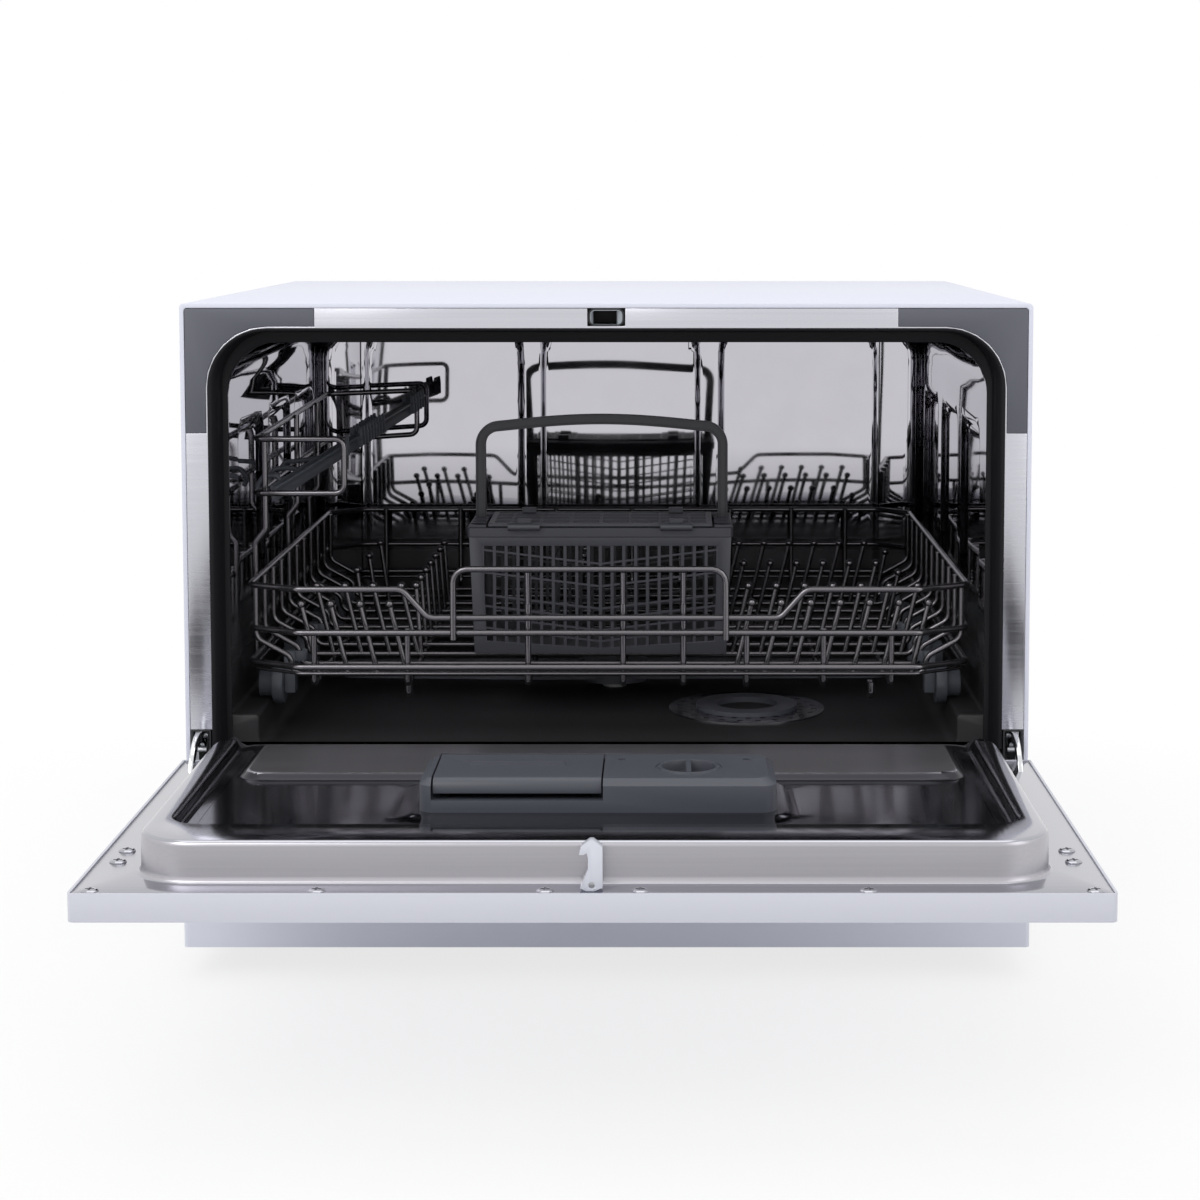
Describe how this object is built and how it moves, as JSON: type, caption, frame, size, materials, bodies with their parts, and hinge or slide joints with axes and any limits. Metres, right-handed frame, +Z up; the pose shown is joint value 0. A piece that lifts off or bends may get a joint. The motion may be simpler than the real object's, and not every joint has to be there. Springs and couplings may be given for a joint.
{
  "type": "countertop dishwasher",
  "caption": "Countertop dishwasher with a drop-down steel-lined door, wire rack on wheels, cutlery basket, detergent dispenser and spray arm.",
  "frame": {"origin": "on the worktop under the middle of the box round the whole part, with the door open and the rack pushed in", "axes": "+X to the right seen from the front, +Y from the open door towards the back of the cabinet, +Z up"},
  "size_m": [0.55, 0.8016, 0.438],
  "materials": {
    "white_paint": "satin",
    "edge_paint": "satin",
    "zinc_steel": "satin",
    "brushed_steel": "brushed",
    "tub_steel": "polished",
    "slate_plastic": "matte",
    "trim_plastic": "matte",
    "wheel_plastic": "matte",
    "dark_plastic": "matte",
    "gloss_black": "gloss",
    "clear_white_plastic": "gloss",
    "white_plastic": "matte",
    "black_rubber": "matte",
    "mat_rubber": "matte",
    "coated_wire": "satin",
    "pump_plastic": "matte",
    "pale_plastic": "matte",
    "chrome_steel": "polished",
    "board_green": "matte"
  },
  "bodies": {
    "cabinet": {"outer_casing": "white_paint", "back_panel": "zinc_steel", "base_tray": "pump_plastic", "plinth": "edge_paint", "levelling_feet": "black_rubber", "tub": "tub_steel", "front_frame": "brushed_steel", "corner_trim_left": "trim_plastic", "corner_trim_right": "trim_plastic", "latch_housing": "dark_plastic", "door_gasket": "black_rubber", "hinge_cover_left": "dark_plastic", "hinge_cover_right": "dark_plastic", "hinge_bracket_left": "zinc_steel", "hinge_bracket_right": "zinc_steel", "door_spring_left": "zinc_steel", "door_spring_right": "zinc_steel", "insulation_mat": "mat_rubber", "sump": "pale_plastic", "filter_plate": "brushed_steel", "circulation_pump": "pump_plastic", "drain_pump": "pump_plastic", "water_heater": "zinc_steel", "inlet_valve": "pale_plastic", "drain_spigot": "pump_plastic", "cord_inlet": "black_rubber", "air_break": "pale_plastic"},
    "filter": {"filter_cup": "trim_plastic"},
    "sprayer": {"spray_arm": "trim_plastic"},
    "door": {"door_outer_panel": "edge_paint", "door_liner": "brushed_steel", "door_screws": "chrome_steel", "door_felt": "mat_rubber", "hinge_arm_left": "chrome_steel", "hinge_arm_right": "chrome_steel", "grip_cup": "dark_plastic", "control_fascia": "gloss_black", "display_window": "gloss_black", "control_board": "board_green", "latch_bracket": "zinc_steel", "dispenser_body": "slate_plastic"},
    "latch": {"latch_hook": "clear_white_plastic"},
    "detergent_lid": {"dispenser_lid": "trim_plastic"},
    "rinse": {"rinse_cap": "trim_plastic"},
    "button_power": {"power_button": "white_plastic"},
    "button_program": {"program_button": "white_plastic"},
    "button_delay": {"delay_button": "white_plastic"},
    "button_start": {"start_button": "white_plastic"},
    "rack": {"rack_wires": "coated_wire", "wheel_axles": "wheel_plastic"},
    "cup_shelf": {"cup_comb": "wheel_plastic"},
    "basket": {"cutlery_basket": "slate_plastic", "basket_handle": "slate_plastic"},
    "basket_cover": {"basket_lid": "trim_plastic"},
    "wheel_left_front_body": {"wheel_left_front": "wheel_plastic"},
    "wheel_left_middle_body": {"wheel_left_middle": "wheel_plastic"},
    "wheel_left_back_body": {"wheel_left_back": "wheel_plastic"},
    "wheel_right_front_body": {"wheel_right_front": "wheel_plastic"},
    "wheel_right_middle_body": {"wheel_right_middle": "wheel_plastic"},
    "wheel_right_back_body": {"wheel_right_back": "wheel_plastic"}
  },
  "joints": [
    {"name": "door_hinge", "type": "hinge", "parent": "cabinet", "child": "door", "pos_m": [0, -0.09375, 0.13], "axis": [-1, 0, 0], "range_deg": [0, 90]},
    {"name": "rack_slide", "type": "slide", "parent": "cabinet", "child": "rack", "axis": [0, 1, 0], "range_m": [-0.218, 0]},
    {"name": "dispenser_lid_hinge", "type": "hinge", "parent": "door", "child": "detergent_lid", "pos_m": [-0.0455, -0.23625, 0.1764], "axis": [-1, 0, 0], "range_deg": [0, 75]},
    {"name": "rinse_cap_turn", "type": "hinge", "parent": "door", "child": "rinse", "pos_m": [0.0515, -0.26825, 0.179], "axis": [0, 0, 1], "range_deg": [0, 90]},
    {"name": "latch_hook_pivot", "type": "hinge", "parent": "door", "child": "latch", "pos_m": [-0.0005, -0.393, 0.1456], "axis": [0, 1, 0], "range_deg": [0, 10], "stiffness_Nm_per_rad": 0.3},
    {"name": "spray_arm_spin", "type": "hinge", "parent": "cabinet", "child": "sprayer", "pos_m": [0, 0.15675, 0.151], "axis": [0, 0, 1], "continuous": true},
    {"name": "filter_cup_turn", "type": "hinge", "parent": "cabinet", "child": "filter", "pos_m": [0.096, 0.07075, 0.143], "axis": [0, 0, 1], "range_deg": [0, 60]},
    {"name": "basket_lift", "type": "slide", "parent": "rack", "child": "basket", "axis": [0, 0, 1], "range_m": [0, 0.05]},
    {"name": "basket_lid_hinge", "type": "hinge", "parent": "basket", "child": "basket_cover", "pos_m": [-0.007, 0.02195, 0.27976], "axis": [1, 0, 0], "range_deg": [0, 110]},
    {"name": "cup_shelf_hinge", "type": "hinge", "parent": "rack", "child": "cup_shelf", "pos_m": [-0.24, 0.16075, 0.306], "axis": [0, -1, 0], "range_deg": [0, 55]},
    {"name": "power_button_press", "type": "slide", "parent": "door", "child": "button_power", "axis": [0, 0, 1], "range_m": [0, 0.0012], "stiffness_N_per_m": 400},
    {"name": "program_button_press", "type": "slide", "parent": "door", "child": "button_program", "axis": [0, 0, 1], "range_m": [0, 0.0012], "stiffness_N_per_m": 400},
    {"name": "delay_button_press", "type": "slide", "parent": "door", "child": "button_delay", "axis": [0, 0, 1], "range_m": [0, 0.0012], "stiffness_N_per_m": 400},
    {"name": "start_button_press", "type": "slide", "parent": "door", "child": "button_start", "axis": [0, 0, 1], "range_m": [0, 0.0012], "stiffness_N_per_m": 400},
    {"name": "wheel_left_front_roll", "type": "hinge", "parent": "rack", "child": "wheel_left_front_body", "pos_m": [-0.235, 0.00625, 0.1745], "axis": [1, 0, 0], "range_deg": [0, 1330]},
    {"name": "wheel_left_middle_roll", "type": "hinge", "parent": "rack", "child": "wheel_left_middle_body", "pos_m": [-0.235, 0.11575, 0.1745], "axis": [1, 0, 0], "range_deg": [0, 1330]},
    {"name": "wheel_left_back_roll", "type": "hinge", "parent": "rack", "child": "wheel_left_back_body", "pos_m": [-0.235, 0.26175, 0.1745], "axis": [1, 0, 0], "range_deg": [0, 1330]},
    {"name": "wheel_right_front_roll", "type": "hinge", "parent": "rack", "child": "wheel_right_front_body", "pos_m": [0.235, 0.00625, 0.1745], "axis": [1, 0, 0], "range_deg": [0, 1330]},
    {"name": "wheel_right_middle_roll", "type": "hinge", "parent": "rack", "child": "wheel_right_middle_body", "pos_m": [0.235, 0.11575, 0.1745], "axis": [1, 0, 0], "range_deg": [0, 1330]},
    {"name": "wheel_right_back_roll", "type": "hinge", "parent": "rack", "child": "wheel_right_back_body", "pos_m": [0.235, 0.26175, 0.1745], "axis": [1, 0, 0], "range_deg": [0, 1330]}
  ],
  "couplings": [
    {"joint": "wheel_left_front_roll", "follows": "rack_slide", "rad_per_m": -106.38},
    {"joint": "wheel_left_middle_roll", "follows": "rack_slide", "rad_per_m": -106.38},
    {"joint": "wheel_left_back_roll", "follows": "rack_slide", "rad_per_m": -106.38},
    {"joint": "wheel_right_front_roll", "follows": "rack_slide", "rad_per_m": -106.38},
    {"joint": "wheel_right_middle_roll", "follows": "rack_slide", "rad_per_m": -106.38},
    {"joint": "wheel_right_back_roll", "follows": "rack_slide", "rad_per_m": -106.38}
  ]
}
